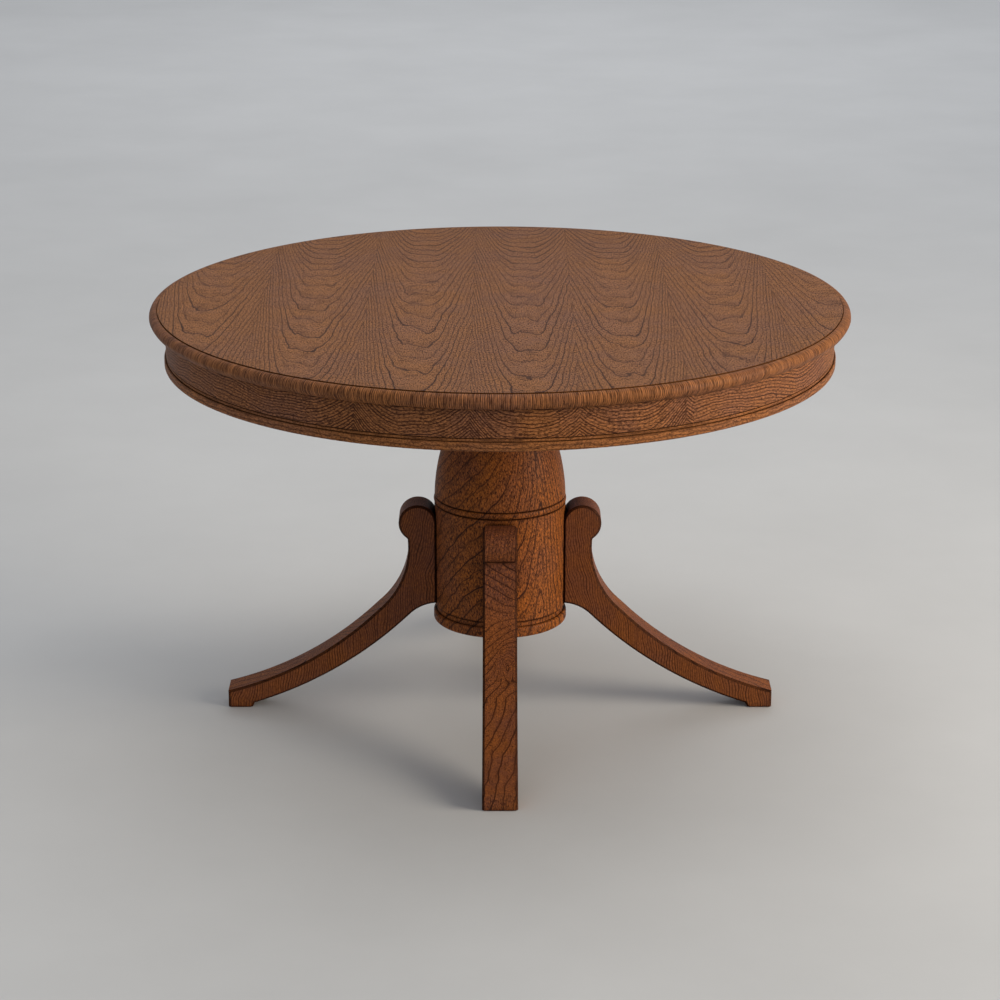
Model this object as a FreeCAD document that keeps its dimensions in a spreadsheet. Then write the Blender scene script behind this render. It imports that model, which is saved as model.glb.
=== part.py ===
"""Round pedestal dining table: veneered top, segmented apron, turned pedestal and four swept legs.

Frame: millimetres, +Z up, origin on the floor on the pedestal's axis. The legs point along -Y (front), +X
(right), +Y (back) and -X (left).
"""
import FreeCAD, Part
import os
import math
import Sketcher

SHEET = "Dims"

# Driving dimensions: alias, value, meaning. Lengths in mm, angles in degrees.
DIMENSIONS = [
    # top
    ("top_height", 752.0, "floor to the upper face"),
    ("top_thickness", 28.5, "upper face to the underside of the backing veneer"),
    ("veneer", 0.7, "thickness of the face and backing veneers"),
    ("top_radius", 609.6, "widest point of the moulded edge"),
    ("face_radius", 595.3, "edge of the flat face"),
    ("arris_radius", 587.5, "lower arris of the moulded edge"),
    ("core_radius", 560.0, "core board, inside the solid edge"),
    ("widest_drop", 14.0, "upper face down to the widest point"),
    ("quirk_width", 1.4, "fine groove outside the flat face"),
    ("quirk_depth", 3.4, "depth of that groove below the face"),
    ("ovolo_drop", 1.8, "start of the rounded edge below the face"),
    ("ovolo_inset", 2.9, "point on the rounded edge, inside the widest point"),
    ("ovolo_depth", 5.6, "that point below the face"),
    ("cove_inset", 6.4, "point on the under-curve, inside the widest point"),
    ("cove_depth", 9.2, "that point below the widest point"),
    ("joint_offset", 125.0, "centre to the joint between the two sets of veneer leaves"),
    ("leaf_width", 184.0, "one full leaf of veneer"),
    ("leaf_trim", 12.0, "taken off the leaf each side of the joint"),
    ("leaf_margin", 5.0, "leaf longer than the round it is trimmed to"),
    # apron
    ("apron_radius", 582.8, "outer face of the apron"),
    ("apron_wall", 22.0, "apron thickness"),
    ("apron_bottom", 673.3, "joint between apron and base bead"),
    ("apron_bevel", 1.2, "height of the bevel on the apron's lower edge"),
    ("front_joint", 32.0, "angle from the front to the first apron joint"),
    ("bead_radius", 585.8, "outer face of the base bead"),
    ("bead_bottom", 652.6, "underside of the base bead"),
    ("bead_top", 667.6, "upper edge of the bead, under its groove"),
    ("bead_bevel", 1.4, "bevel on the bead's upper edge"),
    ("fillet_bottom", 669.2, "lower edge of the small fillet above the bead"),
    ("fillet_inset", 0.5, "fillet's face behind the apron's"),
    ("fillet_bevel", 1.0, "height of the bevel on the fillet's upper edge"),
    ("groove_depth", 2.0, "depth of the apron grooves"),
    ("bead_round", 4.0, "rounding of the bead's lower edge"),
    # under the top
    ("batten_width", 70.0, "battens across the underside"),
    ("batten_depth", 40.0, "batten height"),
    ("batten_half", 530.0, "half a batten's length"),
    ("batten_taper", 60.0, "length of the tapered batten end"),
    ("block_reach", 38.0, "glue block across the top"),
    ("block_depth", 38.0, "glue block down the apron"),
    ("block_lip", 9.0, "thickness of a glue block at its thin edges"),
    ("block_angle", 8.0, "arc of one glue block"),
    ("splice_wall", 18.0, "thickness of the block behind an apron joint"),
    ("splice_depth", 45.0, "height of that block"),
    ("splice_angle", 9.0, "arc of that block"),
    # pedestal
    ("plate_side", 280.0, "square top plate"),
    ("plate_depth", 25.0, "top plate thickness"),
    ("plate_clip", 40.0, "corner cut off the top plate"),
    ("neck_radius", 88.0, "neck under the top plate"),
    ("neck_collar", 13.5, "straight collar under the top plate"),
    ("neck_waist", 56.0, "narrowest point of the neck"),
    ("neck_waist_height", 606.0, "height of that point"),
    ("neck_bead", 74.0, "bead where the neck meets the cap"),
    ("neck_bead_height", 14.0, "height of that bead"),
    ("neck_bead_depth", 4.0, "how far that bead swells out"),
    ("neck_step", 10.0, "neck inside its bead, just above it"),
    ("collar_step", 8.0, "neck inside its collar, just below it"),
    ("cap_inset", 0.2, "cap's lower edge inside the drum's face"),
    ("cap_top", 556.0, "joint between neck and cap"),
    ("cap_top_radius", 70.4, "cap at that joint"),
    ("cap_crown_radius", 91.2, "cap at its crown, below the neck"),
    ("cap_crown_height", 520.0, "height of that point"),
    ("cap_shoulder_radius", 104.7, "cap at its shoulder"),
    ("cap_shoulder_height", 482.0, "height of the shoulder"),
    ("cap_swell_radius", 113.4, "cap on its lower swell"),
    ("cap_swell_height", 440.0, "height of the swell"),
    ("ring_top", 398.0, "upper edge of the ring bead"),
    ("ring_bottom", 386.0, "lower edge of the ring bead"),
    ("ring_radius", 118.2, "ring bead"),
    ("ring_bore", 60.0, "bore of the ring bead"),
    ("drum_radius", 117.0, "straight drum"),
    ("drum_bottom", 194.5, "lower end of the drum"),
    ("drum_hollow", 110.0, "square hollow of the drum, side"),
    ("turned_arris", 1.6, "bevel at the turned joints"),
    ("recess_radius", 113.8, "recess under the drum"),
    ("flange_top", 185.0, "upper edge of the base flange"),
    ("flange_radius", 119.2, "base flange"),
    ("flange_bottom", 166.0, "underside of the pedestal"),
    ("flange_round", 4.5, "rounding of the flange"),
    ("spigot_radius", 54.0, "base ring's spigot inside the drum"),
    ("spigot_height", 20.0, "height of that spigot"),
    # legs, outline in the leg's own plane: reach from the axis, height above the floor
    ("leg_thickness", 60.0, "sawn leg"),
    ("leg_bevel", 4.0, "bevel along the leg's edges"),
    ("leg_seat", 113.0, "flat on the drum that a leg sits on"),
    ("seat_width", 70.0, "width of the cut that makes the flat"),
    ("seat_bottom", 200.5, "lower end of the seat"),
    ("seat_play", 0.5, "gap under the leg in its seat"),
    ("scroll_radius", 33.8, "round scroll at the top of a leg"),
    ("scroll_height", 350.5, "centre of the scroll"),
    ("notch_round", 5.0, "saw-cut rounding of the notch"),
    ("throat_reach", 170.7, "concave throat of the leg"),
    ("throat_height", 260.8, "concave throat of the leg"),
    ("knee_reach", 219.5, "knee, where the throat runs into the sweep"),
    ("knee_height", 186.5, "knee, where the throat runs into the sweep"),
    ("sweep_reach", 330.1, "point on the upper sweep"),
    ("sweep_height", 99.9, "point on the upper sweep"),
    ("foot_reach", 492.5, "end of the foot"),
    ("foot_height", 31.7, "top of the foot's end"),
    ("heel_reach", 448.5, "inner end of the sole"),
    ("heel_riser", 3.5, "set-back of the small riser above the heel"),
    ("riser_height", 8.0, "top of that riser"),
    ("under_reach", 302.8, "point on the lower sweep"),
    ("under_height", 71.2, "point on the lower sweep"),
    ("hock_reach", 163.0, "lower curve under the drum"),
    ("hock_height", 178.0, "lower curve under the drum"),
    ("hock_via_reach", 141.4, "point on that curve"),
    ("hock_via_height", 193.4, "point on that curve"),
    # hardware
    ("glide_gap", 1.0, "sole above the floor, carried by the glide"),
    ("glide_radius", 12.0, "glide head"),
    ("glide_head", 4.0, "glide head thickness"),
    ("glide_pin", 1.5, "glide pin radius"),
    ("glide_reach", 470.0, "glide from the axis"),
    ("glide_length", 20.0, "floor to the end of the glide's pin"),
    ("rod_radius", 6.0, "tie rod"),
    ("rod_bottom", 167.0, "lower end of the tie rod"),
    ("rod_top", 682.5, "upper end of the tie rod"),
    ("rod_bore", 7.0, "bore for the tie rod"),
    ("rod_washer_radius", 18.0, "tie rod washer"),
    ("rod_washer", 2.5, "tie rod washer thickness"),
    ("rod_nut_corner", 10.4, "tie rod nut, centre to corner"),
    ("rod_nut", 10.8, "tie rod nut height"),
    ("sink_radius", 22.0, "recess round the tie rod's nuts"),
    ("base_sink", 16.0, "depth of the recess in the base ring"),
    ("plate_sink", 15.0, "depth of the recess in the top plate"),
    ("bolt_radius", 4.0, "hanger bolt"),
    ("bolt_start", 43.0, "hanger bolt's inner end from the axis"),
    ("bolt_end", 153.0, "hanger bolt's outer end, in the leg"),
    ("bolt_low", 235.0, "height of the lower hanger bolts"),
    ("bolt_high", 325.0, "height of the upper hanger bolts"),
    ("bolt_play", 0.5, "clearance round a bolt in the drum"),
    ("bolt_washer_radius", 12.0, "hanger bolt washer"),
    ("bolt_washer", 2.0, "hanger bolt washer thickness"),
    ("bolt_nut_corner", 7.5, "hanger bolt nut, centre to corner"),
    ("bolt_nut", 6.5, "hanger bolt nut height"),
    ("thread_play", 0.05, "nut bore larger than its rod"),
    ("dowel_radius", 5.0, "leg dowel"),
    ("dowel_half", 25.0, "dowel each side of the seat"),
    ("dowel_height", 280.0, "height of the dowels"),
    ("dowel_offset", 17.0, "dowels each side of the leg's middle"),
    ("screw_radius", 2.5, "wood screw shank"),
    ("screw_head_radius", 5.0, "wood screw head"),
    ("screw_head", 3.5, "wood screw head thickness"),
    ("screw_sink_radius", 5.6, "counterbore for a wood screw"),
    ("batten_sink", 15.0, "depth of the counterbores in the battens"),
    ("batten_bite", 20.0, "screw in the top, from a batten"),
    ("plate_screw_sink", 5.0, "depth of the counterbores in the top plate"),
    ("plate_bite", 30.0, "screw in a batten, from the top plate"),
    ("plate_screw_inner", 80.0, "inner top plate screws from the axis"),
    ("plate_screw_outer", 120.0, "outer top plate screws from the axis"),
    ("block_screw_reach", 541.0, "glue block screws from the axis"),
    ("block_seat", 16.0, "wood between a glue block screw's head and the top"),
]

# Counts, angles in degrees and stations in mm. The scroll's angles are counter-clockwise from straight out.
LIPPING_COUNT = 8
BLOCK_COUNT = 12
BLOCK_FIRST = 15.0
BATTEN_SCREW_STATIONS = (150.0, 300.0, 450.0)
LEG_TURNS = {"leg_front": -90.0, "leg_right": 0.0, "leg_back": 90.0, "leg_left": 180.0}
FULL_TURN = 360.0
SCROLL_TOP = 90.0
SCROLL_NOTCH = -58.0
SEAT_CUT_OUTER = 135.0
SEAT_CUT_VIA = 160.0
# How far the middle of a quarter round lies inside its corner, as a share of its radius.
QUARTER_ROUND = 1.0 - math.sqrt(0.5)
SAME_PLACE = 1e-6


class Size:
    """A length or angle: its number, and the sheet expression that a feature is bound to."""

    def __init__(self, value, text):
        self.value = value
        self.text = text

    def __add__(self, other):
        return joined(self, "+", other)

    def __sub__(self, other):
        return joined(self, "-", other)

    def __mul__(self, other):
        return joined(self, "*", other)

    def __truediv__(self, other):
        return joined(self, "/", other)

    def __neg__(self):
        return joined(number(0.0), "-", self)


def number(value):
    """A plain number as a Size."""
    return Size(float(value), repr(float(value)))


def joined(left, sign, right):
    """The Size that results from left sign right."""
    if not isinstance(right, Size):
        right = number(right)
    values = {
        "+": left.value + right.value,
        "-": left.value - right.value,
        "*": left.value * right.value,
        "/": left.value / right.value if right.value else 0.0,
    }
    return Size(values[sign], f"({left.text} {sign} {right.text})")


def turned(reach, degrees):
    """The point at a reach from the axis, turned counter-clockwise from +X."""
    angle = math.radians(degrees)
    return (
        Size(reach.value * math.cos(angle), f"({reach.text} * cos({degrees}))"),
        Size(reach.value * math.sin(angle), f"({reach.text} * sin({degrees}))"),
    )


def around(reach, first, count):
    """Points spaced evenly round the axis, the first at an angle counter-clockwise from +X."""
    return [turned(reach, first + index * FULL_TURN / count) for index in range(count)]


class Dims:
    """The sheet's dimensions by name, each as a Size."""

    def __init__(self, sheet):
        for row, (alias, value, meaning) in enumerate(DIMENSIONS, start=1):
            sheet.set(f"A{row}", meaning)
            sheet.set(f"B{row}", str(value))
            sheet.setAlias(f"B{row}", alias)
            setattr(self, alias, Size(value, f"{SHEET}.{alias}"))


# ---------------------------------------------------------------- sketch and feature helpers

def bind(item, prop, size):
    """Drive one property of an object from the sheet."""
    item.setExpression(prop, size.text)


def new_body(label):
    """An empty body whose label is the sub-part's name."""
    body = doc.addObject("PartDesign::Body", label)
    body.Label = label
    return body


def origin_feature(body, role):
    """One of the body's own origin planes or axes."""
    return next(item for item in body.Origin.OriginFeatures if item.Role == role)


def new_sketch(body, plane, offset=None):
    """A sketch on one of the body's origin planes, moved along the plane's normal."""
    sketch = body.newObject("Sketcher::SketchObject", "Sketch")
    sketch.AttachmentSupport = [(origin_feature(body, plane), "")]
    sketch.MapMode = "FlatFace"
    if offset is not None:
        bind(sketch, "AttachmentOffset.Base.z", offset)
    return sketch


def pin_point(sketch, geometry, position, point):
    """Fix a sketch point at a place given by two Sizes."""
    for kind, size, axis in (("DistanceX", point[0], -2), ("DistanceY", point[1], -1)):
        if abs(size.value) < SAME_PLACE:
            sketch.addConstraint(Sketcher.Constraint("PointOnObject", geometry, position, axis))
        else:
            distance = Sketcher.Constraint(kind, -1, 1, geometry, position, size.value)
            bind(sketch, f"Constraints[{sketch.addConstraint(distance)}]", size)


def to(across, up):
    """A straight edge to a corner."""
    return (None, (across, up))


def arc(via, end):
    """A round edge through one point to a corner."""
    return (via, end)


def vector(point):
    """A pair of Sizes as a point."""
    return FreeCAD.Vector(point[0].value, point[1].value, 0)


def end_at(sketch, geometry, place):
    """Which end of an edge lies at a place: 1 for its start, 2 for its end."""
    return 1 if sketch.getPoint(geometry, 1).distanceToPoint(place) < SAME_PLACE * 10 else 2


def draw_outline(sketch, steps):
    """A closed outline. Each step is an edge and the corner it runs to, the first from the last corner."""
    corners = [end for _, end in steps]
    edges = []
    for (via, end), start in zip(steps, [corners[-1]] + corners[:-1]):
        if via is None:
            shape = Part.LineSegment(vector(start), vector(end))
        else:
            shape = Part.Arc(vector(start), vector(via), vector(end))
        index = sketch.addGeometry(shape)
        first = end_at(sketch, index, vector(start))
        last = end_at(sketch, index, vector(end))
        edges.append((index, first, last))
    for corner, (edge, _, last), (after, first, _) in zip(corners, edges, edges[1:] + edges[:1]):
        sketch.addConstraint(Sketcher.Constraint("Coincident", edge, last, after, first))
        pin_point(sketch, edge, last, corner)
    for (via, _), (index, _, _) in zip(steps, edges):
        if via is not None:
            mark = sketch.addGeometry(Part.Point(vector(via)), True)
            pin_point(sketch, mark, 1, via)
            sketch.addConstraint(Sketcher.Constraint("PointOnObject", mark, 1, index))


def draw_circles(sketch, centres, radius):
    """Equal circles at the given centres."""
    for centre in centres:
        circle = Part.Circle(vector(centre), FreeCAD.Vector(0, 0, 1), radius.value)
        index = sketch.addGeometry(circle)
        pin_point(sketch, index, 3, centre)
        constraint = sketch.addConstraint(Sketcher.Constraint("Radius", index, radius.value))
        bind(sketch, f"Constraints[{constraint}]", radius)


def pad(body, sketch, length, centred=False):
    """Extrude a sketch along its plane's normal, or half each way."""
    feature = body.newObject("PartDesign::Pad", "Pad")
    feature.Profile = sketch
    bind(feature, "Length", length)
    feature.SideType = "Symmetric" if centred else "One side"
    return feature


def pocket(body, sketch, length, centred=False):
    """Cut a sketch downwards from its plane, or half each way, and make sure that it removes wood."""
    doc.recompute()
    before = body.Shape.Volume
    feature = body.newObject("PartDesign::Pocket", "Pocket")
    feature.Profile = sketch
    bind(feature, "Length", length)
    feature.SideType = "Symmetric" if centred else "One side"
    doc.recompute()
    if body.Shape.Volume >= before - SAME_PLACE:
        raise RuntimeError(f"{body.Label}: a pocket cuts nothing")
    return feature


def revolve(body, sketch, angle=None):
    """Turn a sketch round the table's axis, a full turn unless an angle is given."""
    feature = body.newObject("PartDesign::Revolution", "Revolution")
    feature.Profile = sketch
    feature.ReferenceAxis = (sketch, ["V_Axis"])
    if angle is None:
        feature.Angle = FULL_TURN
    else:
        bind(feature, "Angle", angle)
    return feature


def repeat_round(body, originals, count):
    """Repeat features evenly round the body's Z axis."""
    feature = body.newObject("PartDesign::PolarPattern", "PolarPattern")
    feature.Originals = originals
    feature.Axis = (origin_feature(body, "Z_Axis"), [""])
    feature.Angle = FULL_TURN
    feature.Occurrences = count
    body.Tip = feature
    return feature


def turning(label, steps, angle=None, facing=0.0):
    """A turned piece, or a curved segment that starts at the angle facing, from its half section."""
    body = new_body(label)
    sketch = new_sketch(body, "XZ_Plane")
    draw_outline(sketch, steps)
    revolve(body, sketch, angle)
    body.Placement.Rotation = FreeCAD.Rotation(FreeCAD.Vector(0, 0, 1), facing)
    return body


def drill(body, centres, radius, low, high, plane="XY_Plane"):
    """Round holes along the plane's normal between two positions."""
    sketch = new_sketch(body, plane, high)
    draw_circles(sketch, centres, radius)
    return pocket(body, sketch, high - low)


def stud(body, centres, radius, low, high, plane="XY_Plane"):
    """Round studs along the plane's normal between two positions."""
    sketch = new_sketch(body, plane, low)
    draw_circles(sketch, centres, radius)
    return pad(body, sketch, high - low)


def prism(body, centre, corner, low, high, plane="XY_Plane"):
    """A hexagon, such as a nut, between two positions."""
    sketch = new_sketch(body, plane, low)
    corners = []
    for turn in range(6):
        across, up = turned(corner, turn * FULL_TURN / 6)
        corners.append(to(centre[0] + across, centre[1] + up))
    draw_outline(sketch, corners)
    return pad(body, sketch, high - low)


# ---------------------------------------------------------------- the top

def face_leaves():
    """Strips of face veneer, cut to the round of the flat face, left to right."""
    joint = d.joint_offset
    first = d.leaf_width - d.leaf_trim
    reach = d.face_radius + d.leaf_margin
    edges = [
        -reach,
        joint - first - d.leaf_width * 2,
        joint - first - d.leaf_width,
        joint - first,
        joint,
        joint + first,
        joint + first + d.leaf_width,
        reach,
    ]
    for index, (left, right) in enumerate(zip(edges, edges[1:]), start=1):
        disc = doc.addObject("Part::Cylinder", f"FaceDisc{index}")
        bind(disc, "Radius", d.face_radius)
        bind(disc, "Height", d.veneer)
        bind(disc, "Placement.Base.z", d.top_height - d.veneer)
        strip = doc.addObject("Part::Box", f"FaceStrip{index}")
        bind(strip, "Length", right - left)
        bind(strip, "Width", reach * 2)
        bind(strip, "Height", d.veneer)
        bind(strip, "Placement.Base.x", left)
        bind(strip, "Placement.Base.y", -reach)
        bind(strip, "Placement.Base.z", d.top_height - d.veneer)
        leaf = doc.addObject("Part::Common", f"face_leaf_{index}")
        leaf.Base = disc
        leaf.Tool = strip
        leaf.Label = f"face_leaf_{index}"
        parts.append(leaf)


def edge_lipping():
    """Solid edge round the core: quirk, rounded upper half and an under-curve to a crisp arris."""
    under = d.top_height - d.top_thickness + d.veneer
    face = d.top_height - d.veneer
    widest = d.top_height - d.widest_drop
    quirk_side = d.face_radius + d.quirk_width
    ovolo_via = (d.top_radius - d.ovolo_inset, d.top_height - d.ovolo_depth)
    cove_via = (d.top_radius - d.cove_inset, widest - d.cove_depth)
    steps = [
        to(d.core_radius, under),
        to(d.arris_radius, under),
        arc(cove_via, (d.top_radius, widest)),
        arc(ovolo_via, (quirk_side, d.top_height - d.ovolo_drop)),
        to(quirk_side, d.top_height - d.quirk_depth),
        to(d.face_radius, d.top_height - d.quirk_depth),
        to(d.face_radius, face),
        to(d.core_radius, face),
    ]
    step = FULL_TURN / LIPPING_COUNT
    for index in range(LIPPING_COUNT):
        facing = index * step + step / 2
        parts.append(turning(f"edge_lipping_{index + 1}", steps, number(step), facing))


def core_board():
    """Stable disc inside the lipping, with blind pilot holes for the screws from below."""
    under = d.top_height - d.top_thickness + d.veneer
    body = new_body("top_core")
    sketch = new_sketch(body, "XY_Plane", under)
    draw_circles(sketch, [(number(0), number(0))], d.core_radius)
    pad(body, sketch, d.top_height - d.veneer - under)
    hole_top = d.top_height - d.top_thickness + d.batten_bite
    drill(body, batten_screw_places(), d.screw_radius, under, hole_top)
    drill(body, block_screw_places(), d.screw_radius, under, hole_top)
    parts.append(body)


def backing_veneer():
    """Balancing veneer on the underside, pierced by the same screws."""
    under = d.top_height - d.top_thickness
    body = new_body("backing_veneer")
    sketch = new_sketch(body, "XY_Plane", under)
    draw_circles(sketch, [(number(0), number(0))], d.arris_radius)
    pad(body, sketch, d.veneer)
    places = batten_screw_places() + block_screw_places()
    drill(body, places, d.screw_radius, under, under + d.veneer)
    parts.append(body)


# ---------------------------------------------------------------- apron

def apron_spans():
    """Start angle and arc of each apron segment, one in front, one behind and two on each side."""
    joint = d.front_joint.value
    side = 90.0 - joint
    starts = [-90.0 - joint, -90.0 + joint, 0.0, 90.0 - joint, 90.0 + joint, 180.0]
    arcs = [2 * joint, side, side, 2 * joint, side, side]
    return list(zip(starts, arcs))


def apron_ring():
    """Curved apron segments, bevelled along the lower edge where they meet the base bead."""
    top = d.top_height - d.top_thickness
    inner = d.apron_radius - d.apron_wall
    floor = d.apron_radius - d.groove_depth
    steps = [
        to(inner, d.apron_bottom),
        to(floor, d.apron_bottom),
        to(d.apron_radius, d.apron_bottom + d.apron_bevel),
        to(d.apron_radius, top),
        to(inner, top),
    ]
    for index, (start, span) in enumerate(apron_spans(), start=1):
        parts.append(turning(f"apron_segment_{index}", steps, number(span), start))


def apron_bead():
    """Base moulding: rounded bead, groove, and a small fillet up to the joint."""
    inner = d.apron_radius - d.apron_wall
    floor = d.apron_radius - d.groove_depth
    fillet = d.apron_radius - d.fillet_inset
    inset = d.bead_round * QUARTER_ROUND
    steps = [
        to(inner, d.bead_bottom),
        to(d.bead_radius - d.bead_round, d.bead_bottom),
        arc((d.bead_radius - inset, d.bead_bottom + inset), (d.bead_radius, d.bead_bottom + d.bead_round)),
        to(d.bead_radius, d.bead_top - d.bead_bevel),
        to(d.bead_radius - d.bead_bevel, d.bead_top),
        to(floor, d.bead_top),
        to(floor, d.fillet_bottom),
        to(fillet, d.fillet_bottom),
        to(fillet, d.apron_bottom - d.fillet_bevel),
        to(floor, d.apron_bottom),
        to(inner, d.apron_bottom),
    ]
    for index, (start, span) in enumerate(apron_spans(), start=1):
        parts.append(turning(f"base_bead_{index}", steps, number(span), start))


def glue_blocks():
    """Bevelled corner blocks between the apron and the top, each with one screw up into the core."""
    top = d.top_height - d.top_thickness
    wall = d.apron_radius - d.apron_wall
    steps = [
        to(wall, top),
        to(wall - d.block_reach, top),
        to(wall - d.block_reach, top - d.block_lip),
        to(wall - d.block_lip, top - d.block_depth),
        to(wall, top - d.block_depth),
    ]
    body = new_body("glue_blocks")
    sketch = new_sketch(body, "XZ_Plane")
    draw_outline(sketch, steps)
    repeat_round(body, [revolve(body, sketch, d.block_angle)], BLOCK_COUNT)
    middle = d.block_angle.value / 2
    places = around(d.block_screw_reach, middle, BLOCK_COUNT)
    drill(body, places, d.screw_radius, top - d.block_seat, top)
    drill(body, places, d.screw_sink_radius, top - d.block_depth, top - d.block_seat)
    body.Placement.Rotation = FreeCAD.Rotation(FreeCAD.Vector(0, 0, 1), BLOCK_FIRST - middle)
    parts.append(body)


def block_screw_places():
    """Centres of the glue block screws."""
    return around(d.block_screw_reach, BLOCK_FIRST, BLOCK_COUNT)


def splice_blocks():
    """Blocks glued behind the joints of the apron, one node because they are identical."""
    top = d.top_height - d.top_thickness
    wall = d.apron_radius - d.apron_wall
    steps = [
        to(wall - d.splice_wall, top - d.splice_depth),
        to(wall, top - d.splice_depth),
        to(wall, top),
        to(wall - d.splice_wall, top),
    ]
    middle = d.splice_angle.value / 2
    pieces = []
    for index, (start, _) in enumerate(apron_spans(), start=1):
        pieces.append(turning(f"SpliceBlock{index}", steps, d.splice_angle, start - middle))
    group = doc.addObject("Part::Compound", "splice_blocks")
    group.Links = pieces
    group.Label = "splice_blocks"
    parts.append(group)


# ---------------------------------------------------------------- battens and top plate

def batten_screw_places(axis="both"):
    """Centres of the screws through the battens; axis X, Y or both."""
    places = []
    for station in BATTEN_SCREW_STATIONS:
        for side in (-1, 1):
            if axis in ("x", "both"):
                places.append((number(side * station), number(0)))
            if axis in ("y", "both"):
                places.append((number(0), number(side * station)))
    return places


def plate_screw_places(axis="both"):
    """Centres of the screws through the top plate; axis X, Y or both."""
    places = []
    for reach in (d.plate_screw_inner, d.plate_screw_outer):
        for sign in (1, -1):
            if axis in ("x", "both"):
                places.append((reach * sign, number(0)))
            if axis in ("y", "both"):
                places.append((number(0), reach * sign))
    return places


def batten(label, axis, notch_from_above):
    """A batten with tapered ends, halved at the middle over or under the other one."""
    top = d.top_height - d.top_thickness
    low = top - d.batten_depth
    middle = top - d.batten_depth / 2
    taper = d.batten_half - d.batten_taper
    body = new_body(label)
    sketch = new_sketch(body, "XZ_Plane")
    draw_outline(sketch, [
        to(-taper, low),
        to(taper, low),
        to(d.batten_half, middle),
        to(d.batten_half, top),
        to(-d.batten_half, top),
        to(-d.batten_half, middle),
    ])
    pad(body, sketch, d.batten_width, centred=True)
    half = d.batten_width / 2
    notch = new_sketch(body, "XZ_Plane")
    low_end = middle if notch_from_above else low
    high_end = top if notch_from_above else middle
    draw_outline(notch, [to(-half, low_end), to(half, low_end), to(half, high_end), to(-half, high_end)])
    pocket(body, notch, d.batten_width, centred=True)
    drill(body, batten_screw_places("x"), d.screw_radius, low, top)
    drill(body, batten_screw_places("x"), d.screw_sink_radius, low, low + d.batten_sink)
    drill(body, plate_screw_places("x"), d.screw_radius, low, low + d.plate_bite)
    if axis == "y":
        body.Placement.Rotation = FreeCAD.Rotation(FreeCAD.Vector(0, 0, 1), 90)
    parts.append(body)


def top_plate():
    """Square plate with clipped corners, screwed to the battens and pulled down by the tie rod."""
    high = d.top_height - d.top_thickness - d.batten_depth
    low = high - d.plate_depth
    half = d.plate_side / 2
    clip = half - d.plate_clip
    body = new_body("top_plate")
    sketch = new_sketch(body, "XY_Plane", low)
    draw_outline(sketch, [
        to(half, -clip), to(half, clip), to(clip, half), to(-clip, half),
        to(-half, clip), to(-half, -clip), to(-clip, -half), to(clip, -half),
    ])
    pad(body, sketch, d.plate_depth)
    middle = [(number(0), number(0))]
    drill(body, middle, d.rod_bore, low, high)
    drill(body, middle, d.sink_radius, high - d.plate_sink, high)
    drill(body, plate_screw_places(), d.screw_radius, low, high)
    drill(body, plate_screw_places(), d.screw_sink_radius, low, low + d.plate_screw_sink)
    parts.append(body)


# ---------------------------------------------------------------- pedestal

def neck():
    """Turned neck: bead, deep hollow and a collar under the top plate."""
    high = d.top_height - d.top_thickness - d.batten_depth - d.plate_depth
    bead_edge = d.neck_bead - d.neck_bead_depth
    bead_middle = d.cap_top + d.neck_bead_height / 2
    bead_top = d.cap_top + d.neck_bead_height
    steps = [
        to(d.rod_bore, d.cap_top),
        to(bead_edge, d.cap_top),
        arc((d.neck_bead, bead_middle), (bead_edge, bead_top)),
        to(d.neck_bead - d.neck_step, bead_top),
        arc((d.neck_waist, d.neck_waist_height), (d.neck_radius - d.collar_step, high - d.neck_collar)),
        to(d.neck_radius, high - d.neck_collar),
        to(d.neck_radius, high),
        to(d.rod_bore, high),
    ]
    parts.append(turning("pedestal_neck", steps))


def cap():
    """Bulb-shaped turning above the ring bead."""
    steps = [
        to(d.rod_bore, d.ring_top),
        to(d.drum_radius - d.turned_arris, d.ring_top),
        to(d.drum_radius - d.cap_inset, d.ring_top + d.turned_arris),
        arc((d.cap_swell_radius, d.cap_swell_height), (d.cap_shoulder_radius, d.cap_shoulder_height)),
        arc((d.cap_crown_radius, d.cap_crown_height), (d.cap_top_radius, d.cap_top)),
        to(d.rod_bore, d.cap_top),
    ]
    parts.append(turning("pedestal_cap", steps))


def ring_bead():
    """Thin ring between the cap and the drum, rounded on its edge."""
    middle = (d.ring_top + d.ring_bottom) / 2
    steps = [
        to(d.ring_bore, d.ring_bottom),
        to(d.drum_radius - d.turned_arris, d.ring_bottom),
        arc((d.ring_radius, middle), (d.drum_radius - d.turned_arris, d.ring_top)),
        to(d.ring_bore, d.ring_top),
    ]
    parts.append(turning("ring_bead", steps))


def scroll_point(degrees):
    """A point on a leg's scroll, counter-clockwise from straight out."""
    across, up = turned(d.scroll_radius, degrees)
    return (d.leg_seat + d.scroll_radius + across, d.scroll_height + up)


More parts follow.
